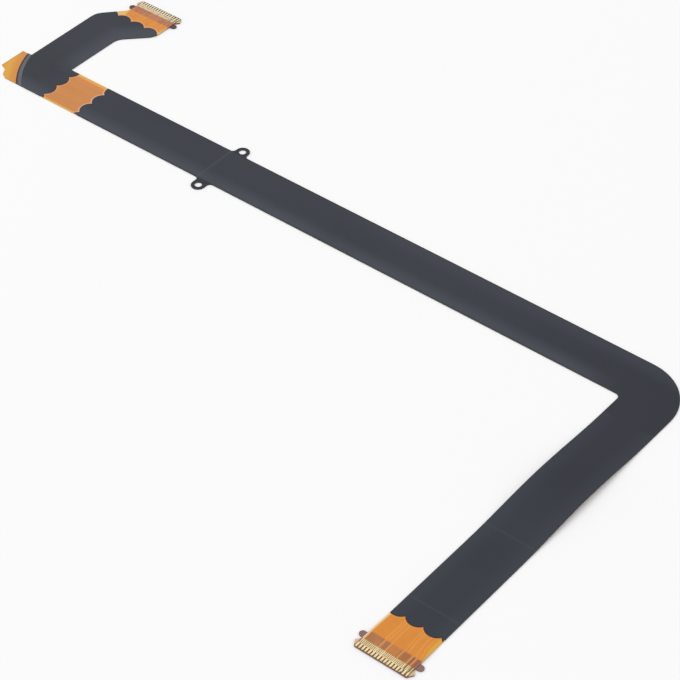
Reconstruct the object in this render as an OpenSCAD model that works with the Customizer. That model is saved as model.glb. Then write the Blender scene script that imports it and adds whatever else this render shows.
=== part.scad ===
// Flat flex cable: a Z-shaped flexible printed circuit with a staggered
// two-row contact end on each arm, two locating ears and a black shield film.
//
// The cable lies on z = 0 with its contacts upwards. X runs along the long arm,
// Y along the branch, and the near arm runs off towards -Y. Plans are drawn from
// the corner where the long arm's lower edge meets the branch's outer edge, and
// placed() moves each piece so that the origin is midway between the two
// locating holes.

/* [Cable outline] */

// Distance between the outer edges of the branch and the near arm
overall_x = 156.3; // [120:0.1:200]
// Width of the branch before its jog
branch_w = 9.55; // [9.35:0.05:14]
// From the long arm's lower edge to the tip of the near end
near_reach = 71.9; // [66:0.1:120]
// From the long arm's lower edge to the tip of the far end
far_reach = 36.5; // [36:0.1:60]
// Sideways shift of the branch at its 45 degree jog
jog_shift = 5.05; // [2:0.05:5.5]
// From the long arm's lower edge to the middle of the jog's first bend
jog_y = 25.35; // [24:0.05:25.8]
// Radius of the four rounded corners of the jog
jog_r = 3.0; // [1:0.1:3.2]
// Fillet in the inner corner of the elbow
elbow_fillet = 1.0; // [0.5:0.1:3]

/* [Laminate] */

// Thickness of the polyimide base film
base_t = 0.05; // [0.025:0.005:0.1]
// Thickness of the etched copper
copper_t = 0.035; // [0.018:0.001:0.07]
// Thickness of the coverlay above the copper
coverlay_t = 0.05; // [0.025:0.005:0.1]
// Thickness of the black shield film
shield_t = 0.03; // [0.02:0.005:0.06]
// Thickness of the stiffener under each contact end
stiffener_t = 0.2; // [0.1:0.01:0.3]

/* [Contact ends] */

// Distance between neighbouring contacts, front and back row together
pitch = 0.3; // [0.3:0.01:0.32]
// Bare film from the outer contacts' centres to the side edges
tip_margin = 0.22; // [0.2:0.01:0.5]
// Length of bare, plated copper
exposed = 2.1; // [1.8:0.1:3]
// Length of the front row of contacts
front_row = 0.9; // [0.6:0.1:1.2]
// Width of a front row contact
front_pad_w = 0.34; // [0.24:0.02:0.4]
// Width of a track at the contacts
track_w = 0.2; // [0.16:0.01:0.22]
// Bare film between the front row and the tip edge
tip_edge = 0.1; // [0.05:0.01:0.2]
// Length of each stiffener
stiffener_len = 3.95; // [3.9:0.05:6]
// Width across the retention wings of a stiffener
wing_span = 12.35; // [11.9:0.05:14]
// Length of a wing along the cable
wing_len = 1.25; // [0.9:0.05:1.4]
// From the tip to the middle of the wings
wing_back = 2.85; // [2.75:0.05:3.1]
// Width across the pointed shoulders ahead of the wings
shoulder_span = 11.5; // [10.8:0.1:12.2]
// From the tip to the points of the shoulders
shoulder_back = 1.15; // [0.9:0.05:1.3]

/* [Tracks] */

// Distance between neighbouring lanes along the arms
lane_pitch = 0.27; // [0.25:0.005:0.275]
// Width of a single track along the arms
lane_w = 0.17; // [0.1:0.01:0.2]
// Length over which the lanes fan out to the contact pitch
fan_len = 3.0; // [2:0.1:4]
// Inner radius of the bundle's two square turns
bend_r = 1.5; // [1.5:0.1:3]

/* [Shield film] */

// Left and right ends of the open window, at the cusps of its scallops
window_x0 = 10.9; // [8:0.1:16]
window_x1 = 20.4; // [18:0.1:30]
// Distance between scallops
scallop_pitch = 3.5; // [3:0.05:4]
// Depth of the scallops
scallop_depth = 0.95; // [0.5:0.05:1.2]
// Bare coverlay from the near tip to the film's cusps
near_bare = 9.7; // [8:0.1:14]
// Bare coverlay from the far tip to the film's cusps
far_bare = 7.1; // [6.5:0.1:8]
// Radius of the film's curved end beside the tab
lip_r = 21.4; // [20.5:0.1:26]
// Height of that curve's middle above the long arm's lower edge
lip_y = 15.1; // [14:0.1:15.5]
// How far that curve, carried on, would bulge past the branch's outer edge
lip_bulge = 2; // [1.8:0.1:2.4]
// Width of the sloping lip where the film runs off the coverlay
lip_w = 1.05; // [0.6:0.05:1.2]

/* [Ears and tab] */

// Distance between the two locating holes
hole_spacing = 12.65; // [12.4:0.05:16]
// Diameter of the locating holes
hole_d = 1.4; // [1:0.1:1.8]
// Width of the ears
ear_w = 2.75; // [2.4:0.05:4]
// From the branch's outer edge to the middle of the ears
ear_x = 52.95; // [30:0.05:90]
// How far the holes' middle lies below the long arm's middle
ear_drop = 0.3; // [0:0.05:0.5]
// Fillet where the ears leave the arm
ear_fillet = 0.8; // [0.2:0.1:1]
// How far the bare tab stands out past the branch
tab_len = 2.35; // [1:0.05:6]
// Height of the tab's top edge above the long arm's lower edge
tab_top = 8.8; // [7:0.1:9.5]
// Height of the tab's stepped lower corner
tab_foot = 2.8; // [1.5:0.1:4]
// Where the stepped corner runs out on the long arm's lower edge
tab_heel = 1.3; // [0.5:0.1:2.5]

/* [Lie] */

// Height of the near arm's shallow hump
hump_h = 0.8; // [0.2:0.05:2]
// Where the hump starts, measured down from the long arm's lower edge
hump_y0 = 5.7; // [4:0.1:12]
// Length of the hump
hump_len = 37.5; // [25:0.5:45]

/* [Hidden] */

$fn = 96;

// Lobes that the other scallops are counted from: height of one at the window,
// and how far one lies right of the middle at the near end and left of it at
// the far end
window_lobe_y = 2.7;
near_lobe_x = -0.9;
far_lobe_x = 0.4;

// Contacts 1 to 33 count from the outer side of the near arm's left edge.
ways = 33;
middle_way = (ways + 1) / 2;
// First and last contact of each net; the wide nets carry power and ground.
power_net = [3, 9];
ground_net = [15, 21];
signal_nets = [[1, 2], [10, 10], [11, 12], [13, 13], [14, 14], [22, 22], [23, 24],
               [25, 25], [26, 26], [27, 28], [29, 29], [30, 31], [32, 32], [33, 33]];

// Widths and centre lines that follow from the contacts
tip_w = pitch * (ways - 1) + 2 * tip_margin;
arm_w = tip_w;
near_x = overall_x - arm_w / 2;
branch_x = branch_w / 2;
far_x = branch_x + jog_shift;
arm_y = arm_w / 2;
near_tip = -near_reach;
far_tip = far_reach;
elbow = [overall_x - arm_w, 0];
miter = tan(22.5);

// Heights of the layers above the underside of the base film
copper_z = base_t;
cover_z = base_t + copper_t;
shield_z = cover_z + coverlay_t;
stack_z = shield_z + shield_t;

// The hole pattern's middle becomes the origin
datum = [ear_x, arm_y - ear_drop];

// Middle of the lip's arc, which reaches just past the branch's outer edge
lip_centre = [lip_r - lip_bulge, lip_y];

// Bends of the long arm's tracks
elbow_turn = [near_x - arm_w / 2 - bend_r, arm_y - arm_w / 2 - bend_r];
branch_turn = [branch_x + arm_w / 2 + bend_r, arm_y + arm_w / 2 + bend_r];
turn_r = arm_w / 2 + bend_r;
turn_step = 15;

// How far plan outlines of one piece run into each other, how far a front row
// contact runs back over its track, and how far under the coverlay the contacts
// of one net join
lap = 0.5;
pad_root = 0.1;
join_back = 0.4;

// Stretches of the side profile
ramp_len = 6;
ramp_steps = 4;
hump_steps = 16;
seat_gap = 0.3;
near_seat = near_tip + stiffener_len + seat_gap;
far_seat = far_tip - stiffener_len - seat_gap;
hump_top = -hump_y0;
hump_bottom = -hump_y0 - hump_len;
cut = 1;

// ---- side profile -------------------------------------------------------

// Smooth step from 0 to 1
function ease(t) = (1 - cos(180 * min(1, max(0, t)))) / 2;

// Height of the base film's underside above the table at y
function rise(y) =
    stiffener_t * ease((near_seat + ramp_len - y) / ramp_len)
    + stiffener_t * ease((y - far_seat + ramp_len) / ramp_len)
    + (y < hump_top && y > hump_bottom
       ? hump_h * (1 - cos(360 * (hump_top - y) / hump_len)) / 2 : 0);

profile_y = concat(
    [near_tip - cut],
    [for (i = [0:ramp_steps]) near_seat + ramp_len * i / ramp_steps],
    [for (i = [hump_steps:-1:0]) hump_top - hump_len * i / hump_steps],
    [for (i = [ramp_steps:-1:0]) far_seat - ramp_len * i / ramp_steps],
    [far_tip + cut]);

// One layer of the laminate, from z0 to z1 above the underside of the base
// film, following the side profile. The children are its plan outline.
module layer(z0, z1) {
    intersection() {
        translate([0, 0, -cut])
            linear_extrude(height = 2 * cut + stiffener_t + hump_h + stack_z)
                children();
        translate([-tab_len - cut, 0, 0])
            rotate([90, 0, 90])
                linear_extrude(height = overall_x + tab_len + wing_span + 2 * cut)
                    polygon(concat(
                        [for (y = profile_y) [y, rise(y) + z0]],
                        [for (i = [len(profile_y) - 1:-1:0])
                            [profile_y[i], rise(profile_y[i]) + z1]]));
    }
}

// ---- plan outlines ------------------------------------------------------

// A contact end seen from its tip: the tip is at y = 0 and the cable runs on
// in +y. Its pointed shoulders stand out on both sides.
module tip_outline(length) {
    half = tip_w / 2;
    point = shoulder_span / 2;
    polygon([[-half, 0], [half, 0], [point, shoulder_back],
             [half, 1.75 * shoulder_back], [half, length],
             [-half, length], [-half, 1.75 * shoulder_back],
             [-point, shoulder_back]]);
}

// The retention wings: two lugs with round ends
module wings() {
    for (side = [-1, 1])
        translate([side * (wing_span - wing_len) / 2, wing_back])
            circle(d = wing_len);
    translate([-(wing_span - wing_len) / 2, wing_back - wing_len / 2])
        square([wing_span - wing_len, wing_len]);
}

module at_near_tip() translate([near_x, near_tip]) children();
module at_far_tip() translate([far_x, far_tip]) rotate(180) children();

// Rounded corners of the jog, whose sharp corner would be at p: the first bend
// turns the branch 45 degrees to the right, and the second turns it back
function first_bend(p) = [for (a = [180:-turn_step:135])
    p + jog_r * [1 + cos(a), sin(a) - miter]];
function second_bend(p) = [for (a = [-45:turn_step:0])
    p + jog_r * [cos(a) - 1, sin(a) + miter]];

// Branch with its jog and far end
module branch_outline() {
    w = branch_w / 2;
    t = tip_w / 2;
    polygon(concat(
        [[branch_x - w, 0], [branch_x + w, 0]],
        first_bend([branch_x + w, jog_y - w * miter]),
        second_bend([far_x + t, jog_y - w * miter + jog_shift + t - w]),
        [[far_x + t, far_tip - stiffener_len / 2 - lap / 2],
         [far_x - t, far_tip - stiffener_len / 2 - lap / 2]],
        reversed(second_bend([far_x - t, jog_y + w * miter + jog_shift + w - t])),
        reversed(first_bend([branch_x - w, jog_y + w * miter]))));
    at_far_tip() tip_outline(stiffener_len);
}

// Long arm, elbow and near arm
module arm_outline() {
    translate([branch_x, 0]) square([elbow[0] - branch_x, arm_w]);
    intersection() {
        translate(elbow) circle(r = arm_w);
        translate(elbow) square(arm_w + cut);
    }
    translate([elbow[0], near_tip + stiffener_len - lap])
        square([arm_w, near_reach - stiffener_len + lap]);
    at_near_tip() tip_outline(stiffener_len);
    difference() {
        translate(elbow - [elbow_fillet, elbow_fillet]) square(elbow_fillet);
        translate(elbow - [elbow_fillet, elbow_fillet]) circle(r = elbow_fillet);
    }
}

// Ears that stand out on both sides of the long arm, before drilling
module ear_blank() {
    translate(datum) {
        for (side = [-1, 1])
            translate([0, side * hole_spacing / 2]) circle(d = ear_w);
        translate([-ear_w / 2, -hole_spacing / 2]) square([ear_w, hole_spacing]);
    }
    for (end = [0, 1], side = [-1, 1])
        translate([ear_x, end * arm_w])
            mirror([side < 0 ? 1 : 0, 0])
                mirror([0, end < 1 ? 1 : 0])
                    translate([ear_w / 2, 0]) difference() {
                        square(ear_fillet);
                        translate([ear_fillet, ear_fillet]) circle(r = ear_fillet);
                    }
}

module ear_holes() {
    for (side = [-1, 1])
        translate(datum + [0, side * hole_spacing / 2]) circle(d = hole_d);
}

// Bare tab past the corner, with its stepped lower corner
module tab_outline() {
    polygon([[branch_x, tab_top], [-tab_len, tab_top], [-tab_len, tab_foot],
             [-0.35 * tab_len, 0.75 * tab_foot], [0, 0.25 * tab_foot],
             [tab_heel, 0], [branch_x, 0]]);
}

// Everything the film tool cuts out in one stroke
module cable_outline() {
    difference() {
        union() {
            difference() {
                branch_outline();
                square([branch_x - 1, tab_foot]);
            }
            tab_outline();
            arm_outline();
            ear_blank();
        }
        ear_holes();
    }
}

// All of the cable but the tab: what lies inside the lip's arc, above its
// middle or to the right of it
module behind_lip(r) {
    translate(lip_centre) circle(r = r);
    translate([-tab_len - cut, lip_centre[1]]) square([overall_x, far_reach]);
    translate([lip_centre[0], near_tip - cut]) square([overall_x, near_reach + far_reach]);
}

// Plan of a film that ends in a row of round scallops: cusps on y = 0, lobes
// towards -y, film towards +y. One lobe is centred on x = first. The straight
// part starts just behind the cusps, where the lobes already overlap.
module scalloped(width, length, first) {
    lobe_r = (scallop_pitch * scallop_pitch / 4 + scallop_depth * scallop_depth)
             / (2 * scallop_depth);
    count = ceil(width / scallop_pitch);
    translate([-width / 2, scallop_depth / 8]) square([width, length]);
    for (i = [-count:count])
        if (abs(first + i * scallop_pitch) < (width + scallop_pitch) / 2)
            translate([first + i * scallop_pitch, lobe_r - scallop_depth])
                circle(r = lobe_r);
}

// ---- tracks -------------------------------------------------------------

// Line that keeps sc beside the centre line at the contacts and sl beside it
// along the arms, from the near end to the far end
function course(sc, sl) = concat(
    [[near_x + sc, near_tip + tip_edge + front_row],
     [near_x + sc, near_tip + stiffener_len],
     [near_x + sl, near_tip + stiffener_len + fan_len]],
    [for (a = [0:turn_step:90])
        elbow_turn + (turn_r + sl) * [cos(a), sin(a)]],
    [for (a = [270:-turn_step:180])
        branch_turn + (turn_r - sl) * [cos(a), sin(a)]],
    [[branch_x + sl, jog_y - sl * miter],
     [far_x + sl, jog_y + jog_shift - sl * miter],
     [far_x + sc, far_tip - stiffener_len],
     [far_x + sc, far_tip - tip_edge - front_row]]);

function reversed(v) = [for (i = [len(v) - 1:-1:0]) v[i]];

// Plan of the copper of one net, without its front row contacts
module net_run(net) {
    a = net[0] - middle_way;
    b = net[1] - middle_way;
    polygon(concat(
        course(b * pitch + track_w / 2, b * lane_pitch + lane_w / 2),
        reversed(course(a * pitch - track_w / 2, a * lane_pitch - lane_w / 2))));
}

// Slots between the contacts of one net at both ends. They end under the
// coverlay, where the contacts join.
module contact_slots(net) {
    slot_w = pitch - track_w;
    slot_len = exposed + join_back - tip_edge - front_row + pad_root;
    for (way = [net[0]:1:net[1] - 1]) {
        x = (way + 0.5 - middle_way) * pitch - slot_w / 2;
        translate([near_x + x, near_tip + tip_edge + front_row - pad_root])
            square([slot_w, slot_len]);
        translate([far_x + x, far_tip - exposed - join_back])
            square([slot_w, slot_len]);
    }
}

// Front row contacts of one net at both ends: every second way has one
module front_pads(net) {
    for (way = [net[0]:net[1]])
        if (way % 2 == 1) {
            x = (way - middle_way) * pitch - front_pad_w / 2;
            translate([near_x + x, near_tip + tip_edge])
                square([front_pad_w, front_row + pad_root]);
            translate([far_x + x, far_tip - tip_edge - front_row - pad_root])
                square([front_pad_w, front_row + pad_root]);
        }
}

// ---- pieces -------------------------------------------------------------

module placed() translate([-datum[0], -datum[1], 0]) children();

module base_film() color([0.80, 0.52, 0.20])
    placed() layer(0, base_t) cable_outline();

// The coverlay laps over the bundle of tracks and seals onto the base film
// along both sides of it. It leaves the contacts and the tab bare.
module coverlay() color([0.86, 0.56, 0.24]) placed() difference() {
    layer(copper_z, shield_z) intersection() {
        cable_outline();
        behind_lip(lip_r - lip_w);
        translate([-tab_len, near_tip + exposed])
            square([overall_x + tab_len, near_reach + far_reach - 2 * exposed]);
    }
    layer(copper_z - base_t / 2, cover_z) net_run([1, ways]);
}

// From the window round the elbow to the near end, with both ears
module arm_shield_film() color([0.24, 0.26, 0.30])
    placed() layer(shield_z, stack_z) intersection() {
        cable_outline();
        union() {
            translate([window_x1, arm_y]) rotate(-90)
                scalloped(arm_w + hole_spacing, overall_x, arm_y - window_lobe_y);
            translate([near_x, near_tip + near_bare])
                scalloped(arm_w, near_reach, near_lobe_x);
        }
    }

// From the window over the corner to the far end. Beside the tab the film
// slopes down off the edge of the coverlay onto the base film.
module branch_shield_film() color([0.24, 0.26, 0.30]) placed() {
    layer(shield_z, stack_z) intersection() {
        cable_outline();
        behind_lip(lip_r - lip_w);
        union() {
            translate([window_x0, arm_y]) rotate(90)
                scalloped(arm_w + cut, overall_x, window_lobe_y - arm_y);
            translate([-tab_len, arm_w + cut / 4])
                square([tab_len + far_x + tip_w, far_reach]);
        }
        translate([far_x, far_tip - far_bare]) rotate(180)
            scalloped(2 * (far_x + tab_len + cut), 2 * far_reach, far_lobe_x);
    }
    intersection() {
        translate(lip_centre) rotate_extrude()
            polygon([[lip_r - lip_w, shield_z], [lip_r, base_t],
                     [lip_r, base_t + shield_t], [lip_r - lip_w, stack_z]]);
        linear_extrude(height = cut) intersection() {
            cable_outline();
            translate([-tab_len, 0]) square([tab_len + window_x0, lip_centre[1]]);
        }
    }
}

// Stiffener under a contact end, with the wings that lock into the socket
module stiffener() linear_extrude(height = stiffener_t) {
    tip_outline(stiffener_len);
    wings();
}

module stiffener_near() color([0.38, 0.26, 0.24]) placed() at_near_tip() stiffener();

module stiffener_far() color([0.38, 0.26, 0.24]) placed() at_far_tip() stiffener();

// Copper of one net, from the near contacts to the far ones
module track(net) color([0.90, 0.70, 0.40])
    placed() layer(copper_z, cover_z) {
        difference() {
            net_run(net);
            contact_slots(net);
        }
        front_pads(net);
    }

module power_track() track(power_net);

module ground_track() track(ground_net);

module signal_track(number) track(signal_nets[number - 1]);

base_film();
coverlay();
arm_shield_film();
branch_shield_film();
stiffener_near();
stiffener_far();
power_track();
ground_track();
signal_track(1);  // signal_track_01
signal_track(2);  // signal_track_02
signal_track(3);  // signal_track_03
signal_track(4);  // signal_track_04
signal_track(5);  // signal_track_05
signal_track(6);  // signal_track_06
signal_track(7);  // signal_track_07
signal_track(8);  // signal_track_08
signal_track(9);  // signal_track_09
signal_track(10);  // signal_track_10
signal_track(11);  // signal_track_11
signal_track(12);  // signal_track_12
signal_track(13);  // signal_track_13
signal_track(14);  // signal_track_14
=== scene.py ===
from math import pi, radians

import bpy
from mathutils import Matrix, Vector


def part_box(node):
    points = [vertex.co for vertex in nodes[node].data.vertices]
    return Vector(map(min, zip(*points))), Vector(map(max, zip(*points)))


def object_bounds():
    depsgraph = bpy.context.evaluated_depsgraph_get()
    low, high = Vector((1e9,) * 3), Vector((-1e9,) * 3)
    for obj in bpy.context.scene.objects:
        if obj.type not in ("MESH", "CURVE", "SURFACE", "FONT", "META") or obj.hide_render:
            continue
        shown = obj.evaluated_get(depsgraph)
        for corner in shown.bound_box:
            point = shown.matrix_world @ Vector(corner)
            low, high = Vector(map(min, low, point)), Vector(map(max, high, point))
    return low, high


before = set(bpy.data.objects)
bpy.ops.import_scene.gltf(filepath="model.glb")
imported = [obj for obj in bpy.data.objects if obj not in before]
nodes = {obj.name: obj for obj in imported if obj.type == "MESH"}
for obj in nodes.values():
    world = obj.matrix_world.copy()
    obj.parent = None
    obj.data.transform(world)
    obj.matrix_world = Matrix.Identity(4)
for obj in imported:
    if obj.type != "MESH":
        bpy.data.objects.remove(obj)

cad_lo, cad_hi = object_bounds()
MM = 0.001

# ---- sizes of the cable, in mm, in the part's own frame ---------------------

# The contact ends: their stiffeners end where the film does
near_lo, near_hi = (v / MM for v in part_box("stiffener_near"))
far_lo, far_hi = (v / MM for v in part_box("stiffener_far"))
NEAR_X = (near_lo.x + near_hi.x) / 2      # middle of the near arm
NEAR_TIP = near_lo.y
FAR_X = (far_lo.x + far_hi.x) / 2         # middle of the far end
FAR_TIP = far_hi.y
STIFFENER_LEN = near_hi.y - near_lo.y

ARM_W = 10.04                             # width of both long runs
BRANCH_W = 9.55
PITCH = 0.3                               # contacts
LANE_PITCH = 0.27                         # tracks along the arms
FAN_LEN = 3.0                             # where the lanes fan out
NEAR_DRIFT = 0.2                          # how far they lie to the left there
WAYS = 33
EXPOSED = 2.1                             # bare plated copper at each tip
ARM_LOW = 0.3 - ARM_W / 2                 # lower edge of the long arm
ARM_Y = ARM_LOW + ARM_W / 2
BRANCH_EDGE = -52.95                      # outer edge of the branch
BRANCH_X = BRANCH_EDGE + BRANCH_W / 2


# ---- arithmetic on shader values --------------------------------------------

SHARP = 0.1                               # mm in which a plain mask switches


class Val:
    """A shader number that can be written into plain sums."""

    def __init__(self, tree, socket):
        self.tree, self.socket = tree, socket

    def math(self, kind, *others):
        n = self.tree.nodes.new("ShaderNodeMath")
        n.operation = kind
        for i, v in enumerate((self,) + others):
            if isinstance(v, Val):
                self.tree.links.new(v.socket, n.inputs[i])
            else:
                n.inputs[i].default_value = v
        return Val(self.tree, n.outputs[0])

    def __add__(self, o): return self.math("ADD", o)
    def __sub__(self, o): return self.math("SUBTRACT", o)
    def __mul__(self, o): return self.math("MULTIPLY", o)
    def __truediv__(self, o): return self.math("DIVIDE", o)
    def abs(self): return self.math("ABSOLUTE")
    def min(self, o): return self.math("MINIMUM", o)
    def max(self, o): return self.math("MAXIMUM", o)

    def rises(self, a, b):
        """0 before a, 1 after b, smooth between."""
        n = self.tree.nodes.new("ShaderNodeMapRange")
        n.interpolation_type = "SMOOTHSTEP"
        self.tree.links.new(self.socket, n.inputs["Value"])
        n.inputs["From Min"].default_value = a
        n.inputs["From Max"].default_value = b
        return Val(self.tree, n.outputs["Result"])

    def falls(self, a, b):
        """1 before a, 0 after b, smooth between."""
        return (self.rises(a, b) * -1.0) + 1.0

    def above(self, edge):
        return self.rises(edge, edge + SHARP)

    def below(self, edge):
        return self.falls(edge, edge + SHARP)

    def ramp(self, a, b):
        """0 before a, 1 after b, straight between."""
        return ((self - a) / (b - a)).max(0.0).min(1.0)


def lin(r, g, b):
    """Linear colour of a plain 0 to 255 one."""
    def f(c):
        c /= 255
        return c / 12.92 if c <= 0.04045 else ((c + 0.055) / 1.055) ** 2.4
    return (f(r), f(g), f(b), 1.0)


class Finish:
    """A material under construction."""

    def __init__(self, name, **sockets):
        self.mat = bpy.data.materials.new(name)
        self.mat.use_nodes = True
        self.tree = self.mat.node_tree
        self.bsdf = self.tree.nodes["Principled BSDF"]
        for key, value in sockets.items():
            self.bsdf.inputs[key.replace("_", " ")].default_value = value
        place = self.tree.nodes.new("ShaderNodeTexCoord").outputs["Object"]
        split = self.tree.nodes.new("ShaderNodeSeparateXYZ")
        self.tree.links.new(place, split.inputs[0])
        self.place = place
        self.x, self.y, self.z = (Val(self.tree, s) * (1 / MM) for s in split.outputs)
        geo = self.tree.nodes.new("ShaderNodeNewGeometry")
        split = self.tree.nodes.new("ShaderNodeSeparateXYZ")
        self.tree.links.new(geo.outputs["Normal"], split.inputs[0])
        self.up = Val(self.tree, split.outputs[2])

    def noise(self, per_mm, detail=2.0, stretch=(1, 1, 1)):
        """Noise from 0 to 1, per_mm blotches to the millimetre."""
        scale = self.tree.nodes.new("ShaderNodeMapping")
        scale.inputs["Scale"].default_value = stretch
        self.tree.links.new(self.place, scale.inputs["Vector"])
        n = self.tree.nodes.new("ShaderNodeTexNoise")
        n.inputs["Scale"].default_value = per_mm / MM
        n.inputs["Detail"].default_value = detail
        self.tree.links.new(scale.outputs[0], n.inputs["Vector"])
        return Val(self.tree, n.outputs["Fac"])

    def mix(self, a, b, fac):
        """Colour a where fac is 0, b where it is 1."""
        n = self.tree.nodes.new("ShaderNodeMix")
        n.data_type = "RGBA"
        n.clamp_factor = True
        self.tree.links.new(fac.socket, n.inputs[0])
        for i, c in ((6, a), (7, b)):
            if isinstance(c, tuple):
                n.inputs[i].default_value = c
            else:
                self.tree.links.new(c, n.inputs[i])
        return n.outputs[2]

    def color(self, socket):
        self.tree.links.new(socket, self.bsdf.inputs["Base Color"])

    def gloss(self, level):
        self.bsdf.inputs["Specular IOR Level"].default_value = level

    def roughness(self, value):
        self.tree.links.new(value.socket, self.bsdf.inputs["Roughness"])

    def cut_edge(self):
        """1 on the film's upright cut edges."""
        return self.up.abs().falls(0.3, 0.6)

    def bump(self, value, height):
        """Relief of that many mm."""
        n = self.tree.nodes.new("ShaderNodeBump")
        n.inputs["Distance"].default_value = height * MM
        self.tree.links.new(value.socket, n.inputs["Height"])
        self.tree.links.new(n.outputs[0], self.bsdf.inputs["Normal"])


# ---- where a point of the film lies -----------------------------------------

# The last way of each net but the last, counted from the near end's left
NET_ENDS = (2, 9, 10, 12, 13, 14, 21, 22, 24, 25, 26, 28, 29, 31, 32)
MID_WAY = (WAYS + 1) / 2

WINDOW = (-42.05, -32.55)                 # the open window's cusps
WINDOW_X = sum(WINDOW) / 2
NEAR_BARE = 9.7                           # bare coverlay at the near end
FAR_BARE = 7.1
JOG = (20.6, 25.7)                        # where the branch shifts sideways
LIP_CENTRE = (-33.55, 10.38)
LIP_R, LIP_W = 21.4, 1.05

# Scalloped ends of the black film
SCALLOP_PITCH, SCALLOP_DEPTH = 3.5, 0.95
LOBE_R = (SCALLOP_PITCH ** 2 / 4 + SCALLOP_DEPTH ** 2) / (2 * SCALLOP_DEPTH)
LOBE_IN = LOBE_R - SCALLOP_DEPTH          # from the cusps to the lobes' centres
WINDOW_LOBE_Y = -2.02
NEAR_LOBE_X = NEAR_X - 0.9
FAR_LOBE_X = FAR_X - 0.4

# Tracks and lines that catch the light, by way number
BRIGHT_TRACKS = (1.2, 10.7, 14.7, 22.3, 28.2, 30.6)
BRIGHT_LINES = (10.1, 11.9, 14.7, 22.9, 24.8, 29.5, 32.3)
DARK_GAPS = (29.35, 32.4)

TAB_END = -54.9                           # the bare tab's outer side
# Crease lines, where highlights are painted on the black film
CREASE_AT_EARS = -1.8                     # across the long arm
NEAR_CREASES = (-63.0, -43.1)             # across the near arm

FAR_AWAY = 9.0                            # mm past every rim
OFF_ENDS = 99.0                           # mm from a tip, for all but the ends


def on_near_arm(f):
    return f.y.below(ARM_LOW - 5.0)


def on_far_end(f):
    return f.y.above(ARM_Y + 15.0)


def beside_window(f):
    return f.x.falls(-20.0, -19.0) * f.y.below(10.0)


def lane_pitch(v):
    """Distance between lanes v mm from a tip."""
    return v.ramp(STIFFENER_LEN, STIFFENER_LEN + FAN_LEN) * (LANE_PITCH - PITCH) + PITCH


def along(f):
    """Where a point lies: (way number, distance from the nearer tip)."""
    near, far = on_near_arm(f), on_far_end(f)
    v_near = f.y - NEAR_TIP
    v_far = (f.y * -1.0) + FAR_TIP
    drift = v_near.ramp(STIFFENER_LEN, STIFFENER_LEN + FAN_LEN) * NEAR_DRIFT
    w_near = (f.x + drift - NEAR_X) / lane_pitch(v_near)
    w_far = (f.x - FAR_X) / lane_pitch(v_far)
    w_arm = (f.y - ARM_Y) / LANE_PITCH
    way = w_arm + (w_near - w_arm) * near
    way = way + (w_far - way) * far
    tip = v_near * near + v_far * far + (near + far) * -OFF_ENDS + OFF_ENDS
    return way + MID_WAY, tip


def on_ways(way, ways, narrow, wide):
    """1 on the lanes with those numbers."""
    near = (way - ways[0]).abs()
    for w in ways[1:]:
        near = near.min((way - w).abs())
    return near.falls(narrow, wide)


def between_nets(way, narrow, wide):
    """1 in the copper-free gaps between nets."""
    return on_ways(way, [end + 0.5 for end in NET_ENDS], narrow, wide)


def past_lobes(across, inward):
    """How far a point lies outside a row of lobes, in mm."""
    across = across.math("WRAP", SCALLOP_PITCH / 2, -SCALLOP_PITCH / 2)
    inward = inward.max(0.0)
    return (across * across + inward * inward).math("SQRT") - LOBE_R


def only(distance, here):
    """That distance where here is 1, and far away elsewhere."""
    return distance + here * -FAR_AWAY + FAR_AWAY


def past_black(f):
    """How far a point lies outside the black film's scalloped ends, in mm."""
    left = past_lobes(f.y - WINDOW_LOBE_Y, f.x - (WINDOW[0] - LOBE_IN))
    right = past_lobes(f.y - WINDOW_LOBE_Y, (f.x * -1.0) + (WINDOW[1] + LOBE_IN))
    near = past_lobes(f.x - NEAR_LOBE_X, (f.y * -1.0) + (NEAR_TIP + NEAR_BARE + LOBE_IN))
    far = past_lobes(f.x - FAR_LOBE_X, f.y - (FAR_TIP - FAR_BARE - LOBE_IN))
    window = only(left.min(right), (f.x - WINDOW_X).abs().below(9.0))
    window = only(window, (f.y - ARM_Y).abs().below(6.5))
    return window.min(only(near, on_near_arm(f))).min(only(far, on_far_end(f)))


def from_lip_centre(f):
    dx, dy = f.x - LIP_CENTRE[0], f.y - LIP_CENTRE[1]
    return (dx * dx + dy * dy).math("SQRT")


def under_black(f):
    """1 where the black film lies over the laminate, for its cut edges."""
    open_near = (f.y - NEAR_TIP).below(NEAR_BARE - SHARP)
    open_far = ((f.y * -1.0) + FAR_TIP).below(FAR_BARE - SHARP)
    open_window = (f.x - WINDOW_X).abs().below(4.7) * (f.y - ARM_Y).abs().below(5.6)
    tab = f.x.below(BRANCH_EDGE) + f.x.below(BRANCH_EDGE + 0.95) * f.y.below(0.0)
    return (open_near + open_far + open_window + tab).min(1.0) * -1.0 + 1.0


# ---- colours ----------------------------------------------------------------

AMBER_WINDOW = lin(207, 134, 67)          # film over copper, in the window
AMBER_COPPER = lin(224, 139, 42)          # and at the contact ends
AMBER_SHADE = lin(196, 116, 58)           # its darker clouds
AMBER_ROSE = lin(222, 134, 72)            # the window's far side
AMBER_MOTTLE = lin(204, 126, 72)          # flecks at the far end
AMBER_LINE = lin(240, 172, 84)            # fine lines that catch the light
AMBER_MARGIN = lin(226, 166, 46)          # film with nothing under it
AMBER_PALE = lin(238, 188, 104)           # and at the far end
AMBER_SIDE = lin(236, 210, 162)           # the near end's left edge
AMBER_RIM = lin(226, 178, 150)            # pale line along the black film's ends

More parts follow.
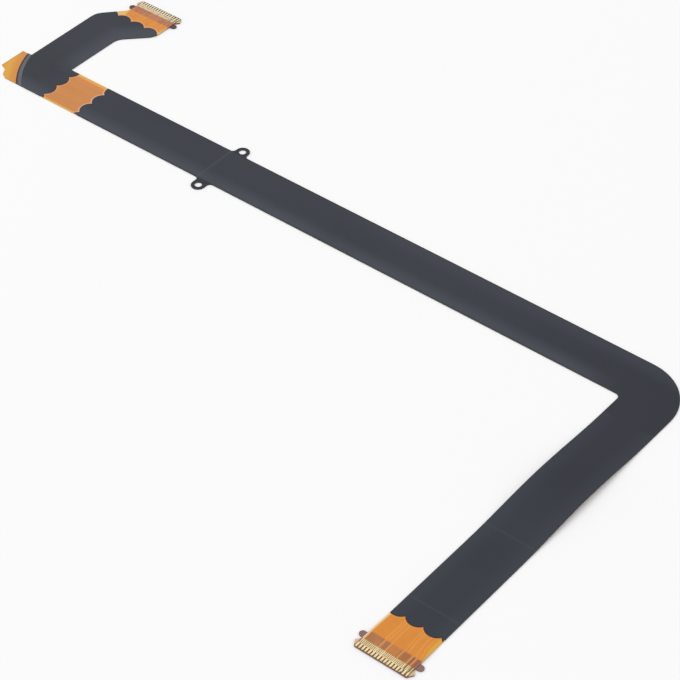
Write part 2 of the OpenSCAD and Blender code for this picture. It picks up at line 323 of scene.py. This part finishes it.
BAND_WIDE = lin(177, 114, 66)             # film over copper and stiffener
BAND_LIGHT = lin(206, 134, 84)
BAND_WARM = lin(196, 125, 64)
BAND_DARK = lin(170, 102, 58)
BAND_LAST = lin(166, 102, 74)             # over the last ways
BAND_TRACK = lin(227, 154, 86)
BAND_GAP = lin(140, 82, 50)
BAND_FAR = lin(190, 120, 88)
BAND_FAR_MOTTLE = lin(158, 100, 84)

TAB_ORANGE = lin(216, 144, 60)            # beside the lip
TAB_YELLOW = lin(227, 166, 58)            # and at the tab's outer rim
TAB_SHADE = lin(206, 140, 62)
TAB_TIP = lin(150, 100, 60)
REAR_GAP = lin(144, 110, 70)              # film between the rear contacts
FRONT_GAP = lin(122, 86, 58)              # and between the front ones
FILM_GAP = lin(66, 42, 30)                # and at the far end
PALE_LUG = lin(226, 198, 156)             # the shoulders beside the contacts
UNDERSIDE = lin(128, 84, 50)
FILM_EDGE = lin(232, 176, 72)             # cut edges, in the open
FILM_EDGE_BLACK = lin(70, 66, 66)         # and below the black film

BLACK_ARM = lin(41, 46, 56)
BLACK_ELBOW = lin(34, 39, 49)
BLACK_NEAR = lin(44, 49, 60)
BLACK_PALE = lin(60, 65, 75)              # where it catches the light
BLACK_CLOUD = lin(28, 32, 38)
BLACK_BORDER = lin(26, 28, 32)
# painted highlight along the crease lines
BLACK_CREASE_HIGHLIGHT = lin(70, 75, 84)
BLACK_GRAIN = lin(96, 100, 108)
BLACK_RIM = lin(58, 30, 26)               # the scallops' dark line
BLACK_SIDE = lin(40, 34, 36)              # cut edges
# painted reflection: the grey band where the black film slopes down over the lip
LIP_REFLECTION = lin(98, 99, 109)
LIP_EDGE = lin(72, 46, 38)

BROWN_NEAR = lin(132, 98, 98), lin(148, 112, 108)
BROWN_FAR = lin(78, 52, 57), lin(98, 68, 70)

GOLD = lin(224, 200, 150), lin(238, 217, 170)
GOLD_FAR = lin(246, 235, 212)
GOLD_BRIGHT = lin(248, 228, 188)
GOLD_FRONT = lin(246, 226, 184)           # front row of contacts
GOLD_SCUFF = lin(190, 158, 110)
GOLD_DARK = lin(112, 82, 52)


# ---- finishes ---------------------------------------------------------------

FILM_GLOSS = 0.3
FILM_IOR = 1.5


def open_amber(f, way, tone, fleck, gap):
    """Amber film over copper, where no stiffener lies below."""
    window, far = beside_window(f), on_far_end(f)
    line = on_ways(way, BRIGHT_LINES, 0.08, 0.36)
    lines = (line * 0.55 + gap * 0.2) * (fleck * 0.9 + 0.4) * (window * -0.6 + 1.0)
    beside = (way - MID_WAY + window * 0.6).abs().rises(WAYS / 2 - 0.4, WAYS / 2 + 0.9)

    c = f.mix(AMBER_COPPER, AMBER_WINDOW, window)
    c = f.mix(c, AMBER_SHADE, tone.rises(0.45, 0.7) * 0.25)
    c = f.mix(c, AMBER_ROSE, way.rises(27.0, 33.0) * window * 0.6)
    c = f.mix(c, AMBER_LINE, lines)
    c = f.mix(c, AMBER_MOTTLE, fleck.rises(0.5, 0.66) * far * 0.45)
    margin = f.mix(AMBER_MARGIN, AMBER_PALE, far * 0.8 + window * 0.3)
    return f.mix(c, margin, beside)


def stiffened_amber(f, way, tone, fleck, gap):
    """Amber film over copper and stiffener, with its streaks by way number."""
    far = on_far_end(f)
    dark = (way - 12.7).abs().falls(0.9, 1.9) * 0.1 + (way - 25.2).abs().falls(1.4, 3.0) * 0.5
    dark_gaps = gap * (fleck * 0.6) + on_ways(way, DARK_GAPS, 0.2, 0.6) * 0.6

    c = f.mix(BAND_WIDE, BAND_WARM, (way - 18.0).abs().falls(2.4, 4.2))
    c = f.mix(c, BAND_DARK, dark)
    c = f.mix(c, BAND_LAST, way.rises(28.4, 29.6))
    c = f.mix(c, BAND_LIGHT, tone.rises(0.5, 0.7) * 0.35)
    c = f.mix(c, BAND_GAP, dark_gaps)
    c = f.mix(c, BAND_TRACK, on_ways(way, BRIGHT_TRACKS, 0.2, 0.65) * 0.8)
    c = f.mix(c, BAND_FAR, far * 0.6)
    return f.mix(c, BAND_FAR_MOTTLE, fleck.rises(0.48, 0.64) * far * 0.55)


def amber_film(name):
    """Clear amber film, with what lies under it showing through."""
    f = Finish(name, Roughness=0.36, IOR=FILM_IOR)
    f.gloss(FILM_GLOSS)
    way, tip = along(f)
    tone, fleck = f.noise(0.35, 3), f.noise(1.6, 4)
    gap = between_nets(way, 0.08, 0.3)

    c = f.mix(open_amber(f, way, tone, fleck, gap),
              stiffened_amber(f, way, tone, fleck, gap),
              tip.falls(STIFFENER_LEN - 0.25, STIFFENER_LEN + 0.2))
    left_margin = (f.x - NEAR_X).falls(-4.86, -4.56) * on_near_arm(f)
    c = f.mix(c, AMBER_SIDE, left_margin * 0.9)

    at_right = f.x.rises(-38.0, -36.0)
    pale = beside_window(f) * (at_right * 0.45 + 0.3) + on_far_end(f) * 0.45 + 0.05
    c = f.mix(c, AMBER_RIM, past_black(f).falls(0.15, 0.42) * pale)
    c = f.mix(c, f.mix(FILM_EDGE, FILM_EDGE_BLACK, under_black(f)), f.cut_edge())
    f.color(c)
    f.bump(gap * -0.6 + fleck * 0.4, 0.006)
    return f.mat


def bare_film(name):
    """Base film: the tab, the film between the contacts, and the underside."""
    f = Finish(name, Roughness=0.38, IOR=FILM_IOR)
    f.gloss(FILM_GLOSS)
    way, tip = along(f)
    tone = f.noise(0.5, 3)
    near, far = on_near_arm(f), on_far_end(f)

    from_lip = from_lip_centre(f) - LIP_R
    c = f.mix(TAB_ORANGE, TAB_YELLOW, from_lip.rises(0.5, 2.2))
    c = f.mix(c, TAB_SHADE, tone.rises(0.5, 0.7) * 0.4)
    c = f.mix(c, TAB_TIP, (f.x - TAB_END).falls(-0.4, 0.1) * 0.25)

    front = tip.falls(0.95, 1.15).max(tip.falls(1.4, 1.8) * far)
    contacts = f.mix(REAR_GAP, f.mix(FRONT_GAP, FILM_GAP, far), front)
    half = (WAYS - 1) * PITCH / 2 + 0.2
    u = ((f.x - NEAR_X) * near).abs().max(((f.x - FAR_X) * far).abs())
    lug = u.rises(half + 0.08, half + 0.16) * tip.rises(0.35, 0.5) * tip.falls(1.55, 1.75)
    contacts = f.mix(contacts, PALE_LUG, lug * (tone * 0.4 + 0.6))
    c = f.mix(c, contacts, tip.falls(EXPOSED + 0.2, EXPOSED + 0.4))

    c = f.mix(c, UNDERSIDE, f.up.falls(-0.6, -0.3))
    edge = f.mix(FILM_EDGE, FILM_EDGE_BLACK, under_black(f))
    edge = f.mix(edge, FILM_GAP, tip.falls(STIFFENER_LEN, STIFFENER_LEN + 0.2))
    f.color(f.mix(c, edge, f.cut_edge()))
    f.bump(f.noise(2.0), 0.006)
    return f.mat


def pale_sides(f):
    """1 along the sides of the black film that catch the light."""
    jog = f.y.ramp(*JOG) * (FAR_X - BRANCH_X)
    branch = (f.x - jog - BRANCH_X).rises(-0.5, BRANCH_W / 2)
    branch = branch * f.y.rises(3.0, 9.0) * f.x.falls(-35.0, -30.0)
    arm = f.y.falls(ARM_LOW + 0.3, ARM_LOW + 4.0) * f.y.rises(ARM_LOW - 0.5, ARM_LOW)
    arm = arm * f.x.falls(82.0, 94.0)
    far_side = f.y.rises(ARM_Y + 1.0, ARM_Y + 4.4) * f.x.rises(20.0, 40.0) * 0.4
    near_arm = (f.x - NEAR_X).abs().rises(1.5, ARM_W / 2) * on_near_arm(f) * 0.3
    return branch + arm + far_side + near_arm


def dark_border(f):
    """Darker along the long arm's two edges and on its ears."""
    across = (f.y - ARM_Y).abs()
    ears = across.rises(5.0, 5.3) * f.x.abs().falls(2.0, 2.4)
    border = across.rises(4.62, 4.95) * across.below(5.3)
    border = border * f.x.falls(88.0, 92.0) * f.x.rises(-43.0, -42.0)
    return border * 0.55 + ears * 0.5


def crease_highlights(f):
    """Painted highlights along crease lines: one across the long arm at the ears, and two
    across the near arm.
    """
    at_ears = (f.x - CREASE_AT_EARS).abs().falls(0.1, 0.4) * f.y.rises(-5.5, -5.0)
    low = (f.y - NEAR_CREASES[0]).abs().falls(0.1, 0.4) * 0.5
    high = (f.y - NEAR_CREASES[1]).abs().falls(0.1, 0.5) * 0.4
    return at_ears + (low + high) * on_near_arm(f)


def shield_film(name):
    """Satin blue-black film, with painted sheen along some edges and painted highlights along
    faint cross crease lines.
    """
    f = Finish(name, IOR=FILM_IOR)
    f.gloss(FILM_GLOSS)
    cloud = f.noise(0.05, 3)
    grain = f.noise(9.0, 2)

    c = f.mix(BLACK_ARM, BLACK_ELBOW, f.x.rises(60.0, 96.0))
    c = f.mix(c, BLACK_NEAR, f.y.falls(-40.0, -26.0) * 0.7)
    c = f.mix(c, BLACK_PALE, pale_sides(f) * (cloud * 0.8 + 0.6))
    c = f.mix(c, BLACK_CLOUD, cloud.rises(0.52, 0.75) * 0.2)
    c = f.mix(c, BLACK_BORDER, dark_border(f))
    # painted highlights along the crease lines
    c = f.mix(c, BLACK_CREASE_HIGHLIGHT, crease_highlights(f) * 0.35)
    c = f.mix(c, BLACK_GRAIN, grain.rises(0.66, 0.8) * 0.25)

    rim = past_black(f)
    c = f.mix(c, BLACK_RIM, rim.rises(-0.3, -0.08) * rim.falls(0.4, 0.5) * 0.85)
    # A grey band of painted reflection on the lip, where the film slopes down
    out = from_lip_centre(f) * f.x.below(-45.0) * f.y.below(LIP_CENTRE[1])
    on_lip = out.rises(LIP_R - LIP_W - 0.1, LIP_R - LIP_W + 0.15)
    c = f.mix(c, LIP_REFLECTION, on_lip * (cloud * 0.5 + 0.65))
    c = f.mix(c, LIP_EDGE, out.rises(LIP_R - 0.5, LIP_R - 0.25))
    c = f.mix(c, BLACK_SIDE, f.cut_edge())
    f.color(c)
    f.roughness(cloud * 0.15 + 0.4)
    f.bump(grain, 0.003)
    return f.mat


def stiffener_film(name):
    """Brown stiffener, darker at the far end."""
    f = Finish(name, Roughness=0.45, IOR=FILM_IOR)
    f.gloss(FILM_GLOSS)
    tone = f.noise(1.2, 3)
    f.color(f.mix(f.mix(*BROWN_NEAR, tone), f.mix(*BROWN_FAR, tone), on_far_end(f)))
    f.bump(f.noise(4.0), 0.006)
    return f.mat


def plated_copper(name):
    """Satin gold plate, a little dull and scuffed."""
    f = Finish(name, Metallic=1.0)
    way, tip = along(f)
    tone = f.noise(1.5, 3)
    scuff = f.noise(2.2, 3, (1, 0.3, 1))
    c = f.mix(*GOLD, tone)
    c = f.mix(c, GOLD_FAR, on_far_end(f) * 0.75)
    c = f.mix(c, GOLD_BRIGHT, on_ways(way, BRIGHT_TRACKS, 0.4, 0.8))
    c = f.mix(c, GOLD_SCUFF, scuff.rises(0.5, 0.7) * 0.5)
    c = f.mix(c, GOLD_DARK, on_ways(way, DARK_GAPS, 0.3, 0.6) * 0.8)
    c = f.mix(c, GOLD_FRONT, tip.falls(0.85, 1.1) * tip.rises(0.25, 0.5) * 0.7)
    f.color(c)
    f.roughness(tone * 0.2 + 0.34)
    f.bump(f.noise(12.0), 0.004)
    return f.mat


def wear(node, material):
    slots = nodes[node].data.materials
    if not len(slots):
        slots.append(material)
    for i in range(len(slots)):
        slots[i] = material


wear("base_film", bare_film("bare_film"))
wear("coverlay", amber_film("amber_film"))
black = shield_film("black_shield")
wear("arm_shield_film", black)
wear("branch_shield_film", black)
brown = stiffener_film("brown_stiffener")
wear("stiffener_near", brown)
wear("stiffener_far", brown)
gold = plated_copper("gold_plate")
for name in nodes:
    if name.endswith("_track") or name.startswith("signal_track"):
        wear(name, gold)


# ---- floor, light and camera ------------------------------------------------

def plane(name, size, z):
    mesh = bpy.data.meshes.new(name)
    s = size / 2
    mesh.from_pydata([(-s, -s, z), (s, -s, z), (s, s, z), (-s, s, z)], [], [(0, 1, 2, 3)])
    obj = bpy.data.objects.new(name, mesh)
    bpy.context.scene.collection.objects.link(obj)
    return obj


def background_rays(tree):
    """1 for the rays that see the pale background, 0 for those that only light."""
    path = tree.nodes.new("ShaderNodeLightPath")
    camera, mirror, glass = (Val(tree, path.outputs["Is %s Ray" % kind])
                             for kind in ("Camera", "Glossy", "Transmission"))
    return (camera + mirror + glass).min(1.0)


FLOOR_DROP = 0.00002                      # metres that keep it clear of the film
FLOOR_GLOW = 0.058

floor = plane("floor", 8.0, cad_lo.z - FLOOR_DROP)
paper = bpy.data.materials.new("floor_paper")
paper.use_nodes = True
paper_bsdf = paper.node_tree.nodes["Principled BSDF"]
paper_bsdf.inputs["Base Color"].default_value = (0.96, 0.96, 0.965, 1)
paper_bsdf.inputs["Roughness"].default_value = 0.9
paper_bsdf.inputs["Specular IOR Level"].default_value = 0.0
floor.data.materials.append(paper)
# The paper is seen a little whiter; its light and shadow stay as they are
pt = paper.node_tree
glow = pt.nodes.new("ShaderNodeEmission")
glow.inputs["Color"].default_value = (1, 1, 1, 1)
both = pt.nodes.new("ShaderNodeAddShader")
pt.links.new((background_rays(pt) * FLOOR_GLOW).socket, glow.inputs["Strength"])
pt.links.new(paper_bsdf.outputs[0], both.inputs[0])
pt.links.new(glow.outputs[0], both.inputs[1])
pt.links.new(both.outputs[0], pt.nodes["Material Output"].inputs["Surface"])

world = bpy.data.worlds.new("studio")
bpy.context.scene.world = world
world.use_nodes = True
wt = world.node_tree
sky = wt.nodes["Background"]
sky.inputs["Color"].default_value = (1.0, 1.0, 1.0, 1)
sky.inputs["Strength"].default_value = 0.8
seen = wt.nodes.new("ShaderNodeBackground")
seen.inputs["Strength"].default_value = 1.0
pick = wt.nodes.new("ShaderNodeMixShader")
wt.links.new(background_rays(wt).socket, pick.inputs[0])
wt.links.new(sky.outputs[0], pick.inputs[1])
wt.links.new(seen.outputs[0], pick.inputs[2])
wt.links.new(pick.outputs[0], wt.nodes["World Output"].inputs[0])


def lamp(name, place, size, power):
    light = bpy.data.lights.new(name, "AREA")
    light.shape = "DISK"
    light.size = size
    light.energy = power
    obj = bpy.data.objects.new(name, light)
    bpy.context.scene.collection.objects.link(obj)
    obj.location = place
    obj.rotation_mode = "QUATERNION"
    obj.rotation_quaternion = (-Vector(place)).to_track_quat("-Z", "Y")
    return obj


lamp("softbox", (-0.8, -0.9, 1.3), 1.4, 5.0)
lamp("sheen", (-0.9, 0.7, 1.5), 1.4, 2.1)          # what the gold and the film mirror

# A long lens, level, from the near end's right
AIM = (0.047589, -0.023385, 0.0)          # the point of the floor that it looks at
AZIMUTH, ELEVATION = radians(38.9172), radians(41.742)
DISTANCE = 0.438438
LENS = 134.25                             # focal length in mm

camera_data = bpy.data.cameras.new("camera")
camera_data.lens = LENS
camera_data.sensor_width = 36.0
camera_data.clip_start = 0.01
camera_data.clip_end = 50.0
camera = bpy.data.objects.new("camera", camera_data)
bpy.context.scene.collection.objects.link(camera)
turn = Matrix.Rotation(AZIMUTH, 4, "Z") @ Matrix.Rotation(pi / 2 - ELEVATION, 4, "X")
away = Matrix.Translation((0.0, 0.0, DISTANCE))
camera.matrix_world = Matrix.Translation(AIM) @ turn @ away
bpy.context.scene.camera = camera

bpy.context.scene.view_settings.view_transform = "Standard"
